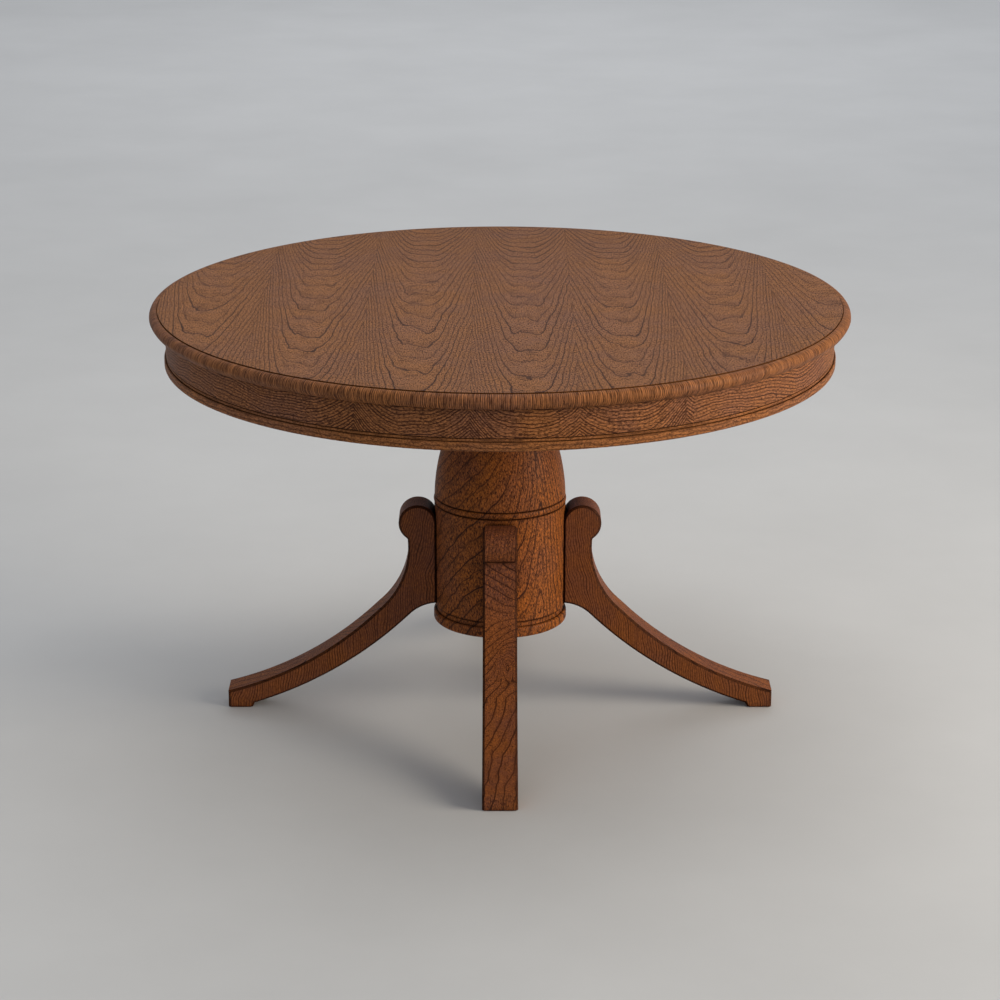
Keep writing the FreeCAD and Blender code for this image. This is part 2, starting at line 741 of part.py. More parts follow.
def drum():
    """Straight drum with a square hollow, a seat for each leg, and holes for bolts and dowels."""
    body = new_body("pedestal_drum")
    sketch = new_sketch(body, "XZ_Plane")
    inset = d.drum_radius - d.turned_arris
    draw_outline(sketch, [
        to(number(0), d.drum_bottom),
        to(inset, d.drum_bottom),
        to(d.drum_radius, d.drum_bottom + d.turned_arris),
        to(d.drum_radius, d.ring_bottom - d.turned_arris),
        to(inset, d.ring_bottom),
        to(number(0), d.ring_bottom),
    ])
    revolve(body, sketch)
    half = d.drum_hollow / 2
    hollow = new_sketch(body, "XY_Plane", d.ring_bottom)
    draw_outline(hollow, [to(half, -half), to(half, half), to(-half, half), to(-half, -half)])
    pocket(body, hollow, d.ring_bottom - d.drum_bottom)
    seat = new_sketch(body, "XZ_Plane")
    outside, seat_top = scroll_point(SEAT_CUT_OUTER)
    seat_low = d.seat_bottom - d.seat_play
    draw_outline(seat, [
        to(d.leg_seat, seat_low),
        to(outside, seat_low),
        to(outside, seat_top),
        arc(scroll_point(SEAT_CUT_VIA), (d.leg_seat, d.scroll_height)),
    ])
    flat = pocket(body, seat, d.seat_width, centred=True)
    bolts = drill(body, bolt_places(), d.bolt_radius + d.bolt_play, half, d.leg_seat, "YZ_Plane")
    dowel_low = d.leg_seat - d.dowel_half
    dowels = drill(body, dowel_places(), d.dowel_radius, dowel_low, d.leg_seat, "YZ_Plane")
    repeat_round(body, [flat, bolts, dowels], len(LEG_TURNS))
    parts.append(body)


def base_ring():
    """Flange under the drum with a recess above it, and a spigot that centres the drum."""
    spigot_top = d.drum_bottom + d.spigot_height
    face = d.flange_radius
    rounding = d.flange_round
    inset = rounding * QUARTER_ROUND
    steps = [
        to(d.rod_bore, d.flange_bottom + d.base_sink),
        to(d.sink_radius, d.flange_bottom + d.base_sink),
        to(d.sink_radius, d.flange_bottom),
        to(face - rounding, d.flange_bottom),
        arc((face - inset, d.flange_bottom + inset), (face, d.flange_bottom + rounding)),
        to(face, d.flange_top - rounding),
        arc((face - inset, d.flange_top - inset), (face - rounding, d.flange_top)),
        to(d.recess_radius, d.flange_top),
        to(d.recess_radius, d.drum_bottom),
        to(d.spigot_radius, d.drum_bottom),
        to(d.spigot_radius, spigot_top),
        to(d.rod_bore, spigot_top),
    ]
    parts.append(turning("base_ring", steps))


def tie_rod():
    """Threaded rod through the pedestal, with a washer and a nut at each end."""
    middle = [(number(0), number(0))]
    rod = new_body("tie_rod")
    stud(rod, middle, d.rod_radius, d.rod_bottom, d.rod_top)
    parts.append(rod)
    plate_low = d.top_height - d.top_thickness - d.batten_depth - d.plate_sink
    base_high = d.flange_bottom + d.base_sink
    bore = d.rod_radius + d.thread_play
    washers = new_body("tie_rod_washers")
    stud(washers, middle, d.rod_washer_radius, base_high - d.rod_washer, base_high)
    stud(washers, middle, d.rod_washer_radius, plate_low, plate_low + d.rod_washer)
    drill(washers, middle, bore, base_high - d.rod_washer, plate_low + d.rod_washer)
    parts.append(washers)
    nut_low = base_high - d.rod_washer - d.rod_nut
    nut_high = plate_low + d.rod_washer + d.rod_nut
    nuts = new_body("tie_rod_nuts")
    prism(nuts, middle[0], d.rod_nut_corner, nut_low, nut_low + d.rod_nut)
    prism(nuts, middle[0], d.rod_nut_corner, nut_high - d.rod_nut, nut_high)
    drill(nuts, middle, bore, nut_low, nut_high)
    parts.append(nuts)


# ---------------------------------------------------------------- legs and their hardware

def bolt_places():
    """Hanger bolts on a leg's middle line, in the plane across the leg."""
    return [(number(0), d.bolt_low), (number(0), d.bolt_high)]


def dowel_places():
    """A pair of dowels between the bolts."""
    return [(-d.dowel_offset, d.dowel_height), (d.dowel_offset, d.dowel_height)]


def leg_outline():
    """Sawn outline of a leg in its own plane, from the bottom of the seat round to the heel."""
    sole = d.glide_gap
    return [
        arc((d.hock_via_reach, d.hock_via_height), (d.leg_seat, d.seat_bottom)),
        to(d.leg_seat, d.scroll_height),
        arc(scroll_point(SCROLL_TOP), scroll_point(SCROLL_NOTCH)),
        arc((d.throat_reach, d.throat_height), (d.knee_reach, d.knee_height)),
        arc((d.sweep_reach, d.sweep_height), (d.foot_reach, d.foot_height)),
        to(d.foot_reach, sole),
        to(d.heel_reach, sole),
        to(d.heel_reach - d.heel_riser, d.riser_height),
        arc((d.under_reach, d.under_height), (d.hock_reach, d.hock_height)),
    ]


def notch_edge(shape):
    """The edge across the leg at the notch under the scroll."""
    across, up = scroll_point(SCROLL_NOTCH)
    place = FreeCAD.Vector(across.value, 0, up.value)
    for index, edge in enumerate(shape.Edges, start=1):
        if edge.CenterOfMass.distanceToPoint(place) < SAME_PLACE * 10:
            return f"Edge{index}"
    raise RuntimeError("no edge at the notch")


def bevelled_edges(shape):
    """The sawn edges of both faces, without the sole's. The bevel runs on from the scroll down the seat."""
    side = d.leg_thickness.value / 2
    names = []
    for index, edge in enumerate(shape.Edges, start=1):
        box = edge.BoundBox
        on_face = abs(abs(box.YMin) - side) < SAME_PLACE and box.YLength < SAME_PLACE
        on_seat = box.XMax < d.leg_seat.value + SAME_PLACE
        on_sole = box.ZMax < d.glide_gap.value + SAME_PLACE
        if on_face and not on_seat and not on_sole:
            names.append(f"Edge{index}")
    return names


def leg(label, facing):
    """One leg, drilled for its bolts, dowels and glide, standing at the angle facing."""
    body = new_body(label)
    sketch = new_sketch(body, "XZ_Plane")
    draw_outline(sketch, leg_outline())
    plank = pad(body, sketch, d.leg_thickness, centred=True)
    doc.recompute()
    notch = body.newObject("PartDesign::Fillet", "NotchRound")
    notch.Base = (plank, [notch_edge(plank.Shape)])
    bind(notch, "Radius", d.notch_round)
    doc.recompute()
    bevel = body.newObject("PartDesign::Chamfer", "Bevel")
    bevel.Base = (notch, bevelled_edges(notch.Shape))
    bind(bevel, "Size", d.leg_bevel)
    doc.recompute()
    drill(body, bolt_places(), d.bolt_radius, d.leg_seat, d.bolt_end, "YZ_Plane")
    drill(body, dowel_places(), d.dowel_radius, d.leg_seat, d.leg_seat + d.dowel_half, "YZ_Plane")
    glide = [(d.glide_reach, number(0))]
    drill(body, glide, d.glide_radius, d.glide_gap, d.glide_head)
    drill(body, glide, d.glide_pin, d.glide_head, d.glide_length)
    body.Placement.Rotation = FreeCAD.Rotation(FreeCAD.Vector(0, 0, 1), facing)
    parts.append(body)


def leg_hardware():
    """Hanger bolts, washers, nuts and dowels of all four legs."""
    wall = d.drum_hollow / 2
    seat = d.leg_seat
    washer_low = wall - d.bolt_washer
    nut_low = washer_low - d.bolt_nut
    bolts = new_body("leg_bolts")
    shanks = stud(bolts, bolt_places(), d.bolt_radius, d.bolt_start, d.bolt_end, "YZ_Plane")
    repeat_round(bolts, [shanks], len(LEG_TURNS))
    dowels = new_body("leg_dowels")
    dowel_low = seat - d.dowel_half
    pegs = stud(dowels, dowel_places(), d.dowel_radius, dowel_low, seat + d.dowel_half, "YZ_Plane")
    repeat_round(dowels, [pegs], len(LEG_TURNS))
    bore = d.bolt_radius + d.thread_play
    washers = new_body("leg_bolt_washers")
    discs = stud(washers, bolt_places(), d.bolt_washer_radius, washer_low, wall, "YZ_Plane")
    holes = drill(washers, bolt_places(), bore, washer_low, wall, "YZ_Plane")
    repeat_round(washers, [discs, holes], len(LEG_TURNS))
    nuts = new_body("leg_bolt_nuts")
    blanks = []
    for place in bolt_places():
        blanks.append(prism(nuts, place, d.bolt_nut_corner, nut_low, washer_low, "YZ_Plane"))
    bores = drill(nuts, bolt_places(), bore, nut_low, washer_low, "YZ_Plane")
    repeat_round(nuts, blanks + [bores], len(LEG_TURNS))
    parts.extend([bolts, dowels, washers, nuts])


def foot_glides():
    """Nail-on glides let into the soles."""
    places = [turned(d.glide_reach, turn) for turn in LEG_TURNS.values()]
    body = new_body("foot_glides")
    stud(body, places, d.glide_radius, number(0), d.glide_head)
    stud(body, places, d.glide_pin, d.glide_head, d.glide_length)
    parts.append(body)


# ---------------------------------------------------------------- wood screws

def screws(label, places, seat, tip):
    """Wood screws pointing up: heads below the seat height, shanks up to the tip height."""
    body = new_body(label)
    stud(body, places, d.screw_head_radius, seat - d.screw_head, seat)
    stud(body, places, d.screw_radius, seat, tip)
    parts.append(body)


def all_screws():
    """The screws of the battens, the top plate and the glue blocks."""
    under = d.top_height - d.top_thickness
    batten_low = under - d.batten_depth
    bite = under + d.batten_bite
    screws("batten_screws", batten_screw_places(), batten_low + d.batten_sink, bite)
    plate_low = batten_low - d.plate_depth
    screws("plate_screws", plate_screw_places(), plate_low + d.plate_screw_sink, batten_low + d.plate_bite)
    screws("block_screws", block_screw_places(), under - d.block_seat, bite)


# ---------------------------------------------------------------- build, check and write

def build():
    """Every sub-part, from the top down."""
    face_leaves()
    core_board()
    backing_veneer()
    edge_lipping()
    apron_ring()
    apron_bead()
    glue_blocks()
    splice_blocks()
    batten("batten_long", "x", notch_from_above=True)
    batten("batten_cross", "y", notch_from_above=False)
    top_plate()
    neck()
    cap()
    ring_bead()
    drum()
    base_ring()
    tie_rod()
    for label, facing in LEG_TURNS.items():
        leg(label, facing)
    leg_hardware()
    foot_glides()
    all_screws()


def check():
    """Stop on a failed feature or a bad shape, before anything is written."""
    doc.recompute()
    for item in doc.Objects:
        if "Invalid" in item.State or "Error" in item.State:
            raise RuntimeError(f"{item.Label}: {item.State}")
    for part in parts:
        shape = part.Shape
        if shape.isNull() or not shape.isValid() or shape.Volume <= 0:
            raise RuntimeError(f"{part.Label}: bad shape")


def write():
    """One STEP file per sub-part, named after it."""
    os.makedirs("parts", exist_ok=True)
    for part in parts:
        part.Shape.exportStep(f"parts/{part.Label}.step")


doc = FreeCAD.newDocument("PedestalTable")
sheet = doc.addObject("Spreadsheet::Sheet", SHEET)
d = Dims(sheet)
doc.recompute()
parts = []
build()
check()
write()
print(len(parts), "sub-parts written")
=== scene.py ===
import math

import bpy
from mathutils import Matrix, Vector


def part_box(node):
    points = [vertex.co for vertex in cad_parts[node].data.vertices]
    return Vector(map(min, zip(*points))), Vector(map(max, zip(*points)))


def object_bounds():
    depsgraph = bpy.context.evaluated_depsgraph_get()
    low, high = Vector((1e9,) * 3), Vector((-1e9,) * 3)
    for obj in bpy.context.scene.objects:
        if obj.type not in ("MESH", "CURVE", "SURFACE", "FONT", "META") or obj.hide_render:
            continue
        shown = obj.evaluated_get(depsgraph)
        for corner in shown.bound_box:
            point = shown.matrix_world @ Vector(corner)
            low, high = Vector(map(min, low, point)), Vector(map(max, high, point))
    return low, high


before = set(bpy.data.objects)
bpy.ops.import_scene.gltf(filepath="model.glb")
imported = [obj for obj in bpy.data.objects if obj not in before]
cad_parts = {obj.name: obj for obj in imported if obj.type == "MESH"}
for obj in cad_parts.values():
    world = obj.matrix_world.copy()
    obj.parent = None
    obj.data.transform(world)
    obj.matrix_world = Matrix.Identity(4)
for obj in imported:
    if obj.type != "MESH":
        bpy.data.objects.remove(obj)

CAD_LOW, CAD_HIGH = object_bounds()
TABLE_RADIUS = CAD_HIGH.x
TABLE_HEIGHT = CAD_HIGH.z
TABLE_MIDDLE = (0.0, 0.0, TABLE_HEIGHT / 2)

# Wood colours, linear. Each stain runs between a golden and a plum tone. Ring lines, also used as painted
# dark shade on sharp edges, and the painted shade of hollows and dark seams are darkest.
TOP_STAIN = ((0.261, 0.106, 0.036), (0.211, 0.093, 0.052))
RIM_STAIN = ((0.312, 0.117, 0.037), (0.224, 0.095, 0.057))
BASE_STAIN = ((0.278, 0.082, 0.014), (0.176, 0.059, 0.031))
LINE = (0.040, 0.012, 0.005)
# painted shade in grooves, corners, on bevels and towards the top's back, and the dark seams between the
# top's leaves
GLAZE_AND_SHADE = (0.012, 0.004, 0.002)
GLEAM = 1.75  # brightness of the flecks between pores, against the golden tone
SHINE = 0.10  # specular level of the lacquer

# Layers of the stained woods: lengths in metres, counts per metre.
PORES_ACROSS = 540.0
PORES_ALONG = 190.0
TONE_SIZE = 0.090  # patches of golden and plum
LINE_CORE = 0.45  # share of a ring line's half width that is fully dark
FAINTEST_LINE = 0.45  # strength of the faintest ring line, against the strongest
GROOVE_REACH = 0.012  # hollows narrower than this get painted shade
ARRIS_RADIUS = 0.0012  # strip beside a sharp edge with a painted highlight on some woods and painted dark shade on the rest

# Veneer of the top, read from the imported leaves. The two sets of leaves mirror about the leaf joint.
LEAF_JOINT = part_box("face_leaf_4")[1].x
LEAF_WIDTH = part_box("face_leaf_3")[1].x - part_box("face_leaf_3")[0].x
LEAF_TRIM = LEAF_WIDTH - (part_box("face_leaf_4")[1].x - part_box("face_leaf_4")[0].x)
LEAF_FLAT = 0.018  # half width of the flat bottom of a leaf's arcs
QUIRK_RADIUS = -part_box("face_leaf_4")[0].y  # inner edge of the groove round the flat face

# Pedestal and legs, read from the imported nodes. The notch lies under a leg's scroll.
DRUM_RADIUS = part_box("pedestal_drum")[1].x
DRUM_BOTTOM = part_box("pedestal_drum")[0].z
RING_LOW, RING_HIGH = (corner.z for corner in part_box("ring_bead"))
NOTCH_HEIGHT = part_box("leg_front")[1].z - 0.057

FLOOR_RADIUS = 40.0


# ------------------------------------------------------------------ node graphs

class Wire:
    """An output in a material's node tree. Arithmetic on it adds Math nodes."""

    def __init__(self, graph, socket):
        self.graph = graph
        self.socket = socket

    def __add__(self, other):
        return self.graph.math("ADD", self, other)

    def __radd__(self, other):
        return self.graph.math("ADD", self, other)

    def __sub__(self, other):
        return self.graph.math("SUBTRACT", self, other)

    def __rsub__(self, other):
        return self.graph.math("SUBTRACT", other, self)

    def __mul__(self, other):
        return self.graph.math("MULTIPLY", self, other)

    def __rmul__(self, other):
        return self.graph.math("MULTIPLY", self, other)

    def __truediv__(self, other):
        return self.graph.math("DIVIDE", self, other)


class Graph:
    """A new material and short methods that add nodes to it."""

    def __init__(self, name):
        self.material = bpy.data.materials.new(name)
        self.material.use_nodes = True
        self.tree = self.material.node_tree
        self.tree.nodes.clear()

    def node(self, kind, **settings):
        made = self.tree.nodes.new("ShaderNode" + kind)
        for key, value in settings.items():
            setattr(made, key, value)
        return made

    def feed(self, socket, value):
        """Connect a Wire to an input, or set the input to a number or colour."""
        if isinstance(value, Wire):
            self.tree.links.new(value.socket, socket)
        elif hasattr(value, "__len__") and len(value) == 3 and socket.type == "RGBA":
            socket.default_value = (*value, 1.0)
        else:
            socket.default_value = value

    def math(self, operation, first, second=0.0, clamp=False):
        made = self.node("Math", operation=operation, use_clamp=clamp)
        for socket, value in zip(made.inputs, (first, second)):
            self.feed(socket, value)
        return Wire(self, made.outputs[0])

    def place(self):
        """X, Y and Z of the shaded point, in metres in the table's frame."""
        coordinates = self.node("TexCoord")
        parts = self.node("SeparateXYZ")
        self.tree.links.new(coordinates.outputs["Object"], parts.inputs[0])
        return [Wire(self, output) for output in parts.outputs]

    def normal(self):
        """X, Y and Z of the surface's true normal."""
        geometry = self.node("NewGeometry")
        parts = self.node("SeparateXYZ")
        self.tree.links.new(geometry.outputs["True Normal"], parts.inputs[0])
        return [Wire(self, output) for output in parts.outputs]

    def vector(self, x, y, z):
        made = self.node("CombineXYZ")
        for socket, value in zip(made.inputs, (x, y, z)):
            self.feed(socket, value)
        return Wire(self, made.outputs[0])

    def noise(self, where, size, detail=2.0, roughness=0.5):
        """Smooth noise from 0 to 1 whose largest features are about the given size across."""
        made = self.node("TexNoise")
        self.feed(made.inputs["Vector"], where)
        self.feed(made.inputs["Scale"], 1.0 / size)
        self.feed(made.inputs["Detail"], detail)
        self.feed(made.inputs["Roughness"], roughness)
        return Wire(self, made.outputs["Fac"])

    def random(self, value):
        """A fixed random number from 0 to 1 for each whole number."""
        made = self.node("TexWhiteNoise", noise_dimensions="1D")
        self.feed(made.inputs["W"], value)
        return Wire(self, made.outputs["Value"])

    def step(self, value, low, high):
        """0 below low, 1 above high, smooth between them."""
        made = self.node("MapRange", interpolation_type="SMOOTHSTEP")
        for name, number in (("Value", value), ("From Min", low), ("From Max", high)):
            self.feed(made.inputs[name], number)
        return Wire(self, made.outputs["Result"])

    def mix(self, share, first, second):
        """Colour first at share 0 and second at share 1."""
        made = self.node("Mix", data_type="RGBA")
        self.feed(made.inputs["Factor"], share)
        self.feed(made.inputs[6], first)
        self.feed(made.inputs[7], second)
        return Wire(self, made.outputs[2])

    def hollow(self, reach):
        """1 deep in a groove or an inner corner narrower than reach, 0 on open surfaces."""
        made = self.node("AmbientOcclusion", samples=6)
        made.inputs["Distance"].default_value = reach
        return 1.0 - Wire(self, made.outputs["AO"])

    def arris(self, radius):
        """1 on a sharp edge, falling to 0 at the radius from it."""
        made = self.node("Bevel", samples=4)
        made.inputs["Radius"].default_value = radius
        geometry = self.node("NewGeometry")
        compare = self.node("VectorMath", operation="DOT_PRODUCT")
        self.tree.links.new(made.outputs[0], compare.inputs[0])
        self.tree.links.new(geometry.outputs["Normal"], compare.inputs[1])
        return self.step(Wire(self, compare.outputs["Value"]), 0.995, 0.90)

    def bump(self, height, strength, distance):
        made = self.node("Bump")
        self.feed(made.inputs["Height"], height)
        made.inputs["Strength"].default_value = strength
        made.inputs["Distance"].default_value = distance
        return Wire(self, made.outputs[0])

    def finish(self, colour, roughness, normal=None, **inputs):
        """The surface shader. Returns the material."""
        shader = self.node("BsdfPrincipled")
        self.feed(shader.inputs["Base Color"], colour)
        self.feed(shader.inputs["Roughness"], roughness)
        if normal is not None:
            self.feed(shader.inputs["Normal"], normal)
        for key, value in inputs.items():
            self.feed(shader.inputs[key.replace("_", " ").title().replace("Ior", "IOR")], value)
        output = self.node("OutputMaterial")
        self.tree.links.new(shader.outputs[0], output.inputs["Surface"])
        return self.material


# ------------------------------------------------------------------ wood

def stained_wood(g, figure, place, stain, plum, lines, speckle, dark, width, painted_edge_highlight=False):
    """Stained and lacquered wood.

    figure is (rings, rings per metre, grain, pores): a count of the growth rings, how closely they lie, and
    two vectors stretched along them, for long streaks and for short pores. plum is the share of the plum
    tone, lines the strength of the ring lines, speckle that of streaks and pores, dark the least share of
    painted shade (with the dark seams of the top), width the half width of a ring line in metres, and the
    last flag makes the painted mark on sharp edges a pale highlight instead of dark shade.
    """
    rings, density, grain, pores = figure
    spot = g.vector(*place)

    # Each ring's line lies at phase 0.5, and its late wood darkens slowly up to the line.
    phase = g.math("FRACT", rings)
    apart = g.math("ABSOLUTE", phase - 0.5)
    line = 1.0 - g.step(apart / density, width * LINE_CORE, width)
    line = line * (FAINTEST_LINE + (1.0 - FAINTEST_LINE) * g.random(g.math("FLOOR", rings)))
    late = g.step(phase, 0.05, 0.5) * g.step(phase, 0.56, 0.5)

    # The tone drifts in patches and from ring to ring.
    tone = g.step(g.noise(spot, TONE_SIZE, 3.0, 0.55), 0.34, 0.68)
    band = g.noise(g.vector(rings * 0.30, 0.0, 0.0), 1.0, 2.0)
    share = g.math("ADD", tone * 0.60 + band * 0.55, plum - 0.58, clamp=True)
    bright = [GLEAM * channel for channel in stain[0]]
    colour = g.mix(share, *stain)

    # Long streaks, and short pores with pale flecks between them.
    streak = g.step(g.noise(grain, 1.0, 4.0, 0.65), 0.48, 0.68)
    fleck = g.noise(pores, 1.0, 3.0, 0.75)
    pore = g.step(fleck, 0.51, 0.59)
    gleam = g.step(fleck, 0.47, 0.37)
    colour = g.mix(streak * speckle * 0.6, colour, LINE)
    colour = g.mix(gleam * speckle * 0.7, colour, bright)
    colour = g.mix(pore * speckle, colour, LINE)
    colour = g.mix(g.math("ADD", line * lines, late * lines * 0.15, clamp=True), colour, LINE)

    # Painted shade darkens grooves and what dark asks for, with the dark seams of the top; sharp edges get a
    # painted highlight or painted dark shade.
    painted_shade_and_glaze = g.math("MAXIMUM", g.step(g.hollow(GROOVE_REACH), 0.18, 0.60), dark)
    colour = g.mix(painted_shade_and_glaze * 0.9, colour, GLAZE_AND_SHADE)
    colour = g.mix(g.arris(ARRIS_RADIUS) * 0.45, colour, bright if painted_edge_highlight else LINE)

    height = streak * -0.2 + line * -0.1 + pore * -0.4
    rough = 0.46 + 0.10 * g.noise(spot, 0.030, 2.0) + pore * 0.12
    shine = SHINE - painted_shade_and_glaze * 0.09
    return g.finish(colour, rough, g.bump(height, 0.18, 0.0004), specular_ior_level=shine)


def jitter(g, place, size, reach, detail=2.0):
    """Noise of the given feature size, from -reach to reach."""
    return (g.noise(g.vector(*place), size, detail) - 0.5) * (2.0 * reach)


def drift(g, place, size, reach):
    """Noise of the given feature size with no fine detail, from -reach to reach."""
    return jitter(g, place, size, reach, 1.0)


def length(g, first, second):
    """Length of the vector with these two parts."""
    return g.math("SQRT", first * first + second * second)


def near(g, value, middle, reach):
    """1 at the middle, falling smoothly to 0 at reach from it."""
    return g.step(g.math("ABSOLUTE", value - middle), reach, 0.0)


def in_leaf(g, across):
    """(place across the veneer leaf from its middle, number of the leaf), mirrored about the leaf joint."""
    mirrored = g.math("GREATER_THAN", across, LEAF_JOINT)
    outward = (across - LEAF_JOINT) * (mirrored * 2.0 - 1.0) + LEAF_TRIM
    leaf = g.math("FLOOR", outward / LEAF_WIDTH)
    return outward - leaf * LEAF_WIDTH - LEAF_WIDTH / 2, leaf + mirrored * 10.0


def flanks(g, across, inner, outer):
    """(rings, rings per metre) across a leaf. inner and outer are the (rings, power) of its two flanks."""
    flank = LEAF_WIDTH / 2 - LEAF_FLAT
    share = g.math("MAXIMUM", g.math("ABSOLUTE", across) - LEAF_FLAT, 0.0) / flank
    side = g.step(across, -LEAF_FLAT, LEAF_FLAT)
    counts = []
    slopes = []
    for rings, power in (inner, outer):
        counts.append(g.math("POWER", share, power) * rings)
        slopes.append(g.math("POWER", share, power - 1.0) * (rings * power / flank))
    return counts[0] + (counts[1] - counts[0]) * side, slopes[0] + (slopes[1] - slopes[0]) * side


def top_veneer(name):
    """Slip-matched leaves with U-shaped arcs, closer together away from the front leg."""
    g = Graph(name)
    place = g.place()
    x, y, _ = place
    across, leaf = in_leaf(g, x)
    slip = 0.040
    along = y + (g.random(leaf) - 0.5) * slip

    # Arcs per metre along the leaf grow towards the back. Broad and small waves bend them.
    flank, slope = flanks(g, across, (7.0, 1.6), (9.5, 1.8))
    far = g.math("MAXIMUM", along, 0.0)
    rise = along * 11.0 + far * far * 17.0
    where = (across, along * 0.45, leaf * 0.02)
    rings = flank - rise + (jitter(g, where, 0.110, 0.8) + jitter(g, where, 0.032, 0.425, 3.0))
    density = slope + 45.0 + far * 100.0
    grain = g.vector(rings * 4.0, along * 24.0, across * 30.0)
    pores = g.vector(x * 470.0, y * 140.0, leaf)
    lines = 1.0 - g.step(slope, 40.0, 160.0) * 0.30

    # Plum lies in drifts, from leaf to leaf and in a patch left of the leaf joint.
    plum = 0.26 + drift(g, (x, y, 0.0), 0.40, 0.35) + (g.random(leaf + 0.5) - 0.5) * 0.2
    plum = plum + near(g, x, LEAF_JOINT * 0.7, 0.16) * near(g, y, 0.10, 0.60) * 0.45

    # A little glaze in the seams between leaves, and painted shade darkening the top towards the back.
    seam = g.step(g.math("ABSOLUTE", across), LEAF_WIDTH / 2 - 0.0010, LEAF_WIDTH / 2)
    seam_glaze_and_back_shade = g.math("MAXIMUM", seam * 0.10, g.step(y, 0.0, TABLE_RADIUS) * 0.09)
    figure = (rings, density, grain, pores)
    return stained_wood(g, figure, place, TOP_STAIN, plum, lines, 0.85, seam_glaze_and_back_shade, 0.0009)


def round_angle(g, place):
    """Angle round the axis from the front, counter-clockwise from above, -pi to pi."""
    x, y, _ = place
    return g.math("ARCTAN2", x, y * -1.0)


def edge_wood(name):
    """Moulded edge with its grain running across the edge and painted shade in the quirk."""
    g = Graph(name)
    place = g.place()
    x, y, z = place
    density = 310.0
    out = length(g, x, y)
    rim = (x * TABLE_RADIUS / out, y * TABLE_RADIUS / out, 0.0)
    path = round_angle(g, place) * TABLE_RADIUS + jitter(g, rim, 0.030, 0.003)
    grain = g.vector(path * 330.0, z * 12.0, out * 12.0)
    pores = g.vector(path * PORES_ACROSS * 1.3, z * 50.0, out * 50.0)
    # Plum drifts at random; the x term is painted light, golden and lighter on the lit right, plum and darker
    # on the left.
    plum = 0.30 + drift(g, place, 0.25, 0.4) - x * 0.3
    # painted shade: a dark ring in the quirk
    quirk_shade = g.step(out, QUIRK_RADIUS + 0.0022, QUIRK_RADIUS + 0.0010) * 0.85
    figure = (path * density, density, grain, pores)
    return stained_wood(g, figure, place, RIM_STAIN, plum, 0.75, 0.80, quirk_shade, 0.0009, painted_edge_highlight=True)


def apron_front_wood(name, facing):
    """Apron veneer in the top's leaves, arcs close together, for the front (facing 1) or back (facing -1)."""
    g = Graph(name)
    place = g.place()
    x, y, z = place
    climb = 180.0
    across, _ = in_leaf(g, x * facing)
    flank, slope = flanks(g, across, (7.5, 1.7), (9.5, 1.9))
    bend = jitter(g, place, 0.070, 1.6) + jitter(g, place, 0.016, 0.35, 3.0) + jitter(g, place, 0.005, 0.10)
    rings = flank - z * climb + bend
    grain = g.vector(rings * 1.6, across * 50.0, z * 50.0)
    pores = g.vector(x * PORES_ALONG, y * PORES_ALONG, z * PORES_ACROSS)
    plum = 0.50 + drift(g, place, 0.16, 0.5)
    figure = (rings, length(g, slope, climb), grain, pores)
    return stained_wood(g, figure, place, RIM_STAIN, plum, 0.90, 0.85, 0.0, 0.0012)


def apron_side_wood(name):
    """Apron veneer with its grain running round the table in slow waves."""
    g = Graph(name)
    place = g.place()
    x, _, z = place
    density = 195.0
    wave_length = 0.085
    wave_height = 0.010
    along = round_angle(g, place) * TABLE_RADIUS
    bend = jitter(g, place, 0.120, 0.016) + jitter(g, place, 0.020, 0.0016, 3.0)
    path = (z - TABLE_HEIGHT) + g.math("SINE", along / wave_length) * wave_height + bend
    grain = g.vector(path * 400.0, along * 40.0, 0.0)
    pores = g.vector(along * PORES_ALONG, z * PORES_ACROSS, 0.0)
    # Plum drifts at random; the x term is painted light, golden and lighter on the lit right, plum and darker
    # on the left.
    plum = 0.50 + drift(g, place, 0.16, 0.5) - x * 0.3
    figure = (path * density, density, grain, pores)
    return stained_wood(g, figure, place, RIM_STAIN, plum, 0.90, 0.85, 0.0, 0.0012)


def bead_wood(name):
    """Base moulding, grain running round the table."""
    g = Graph(name)
    place = g.place()
    x, y, z = place
    out = length(g, x, y)
    along = round_angle(g, place) * TABLE_RADIUS
    path = out + z * 0.7 + (jitter(g, place, 0.050, 0.006) + jitter(g, place, 0.012, 0.0010))
    grain = g.vector(path * 400.0, along * 50.0, 0.0)
    pores = g.vector(along * PORES_ALONG * 1.5, z * PORES_ACROSS, out * PORES_ACROSS)
    # Plum drifts at random; the x term is painted light, golden and lighter on the lit right, plum and darker
    # on the left.
    plum = 0.20 + drift(g, place, 0.20, 0.45) - x * 0.3
    figure = (path * 200.0, 240.0, grain, pores)
    return stained_wood(g, figure, place, RIM_STAIN, plum, 0.60, 0.75, 0.0, 0.0010, painted_edge_highlight=True)


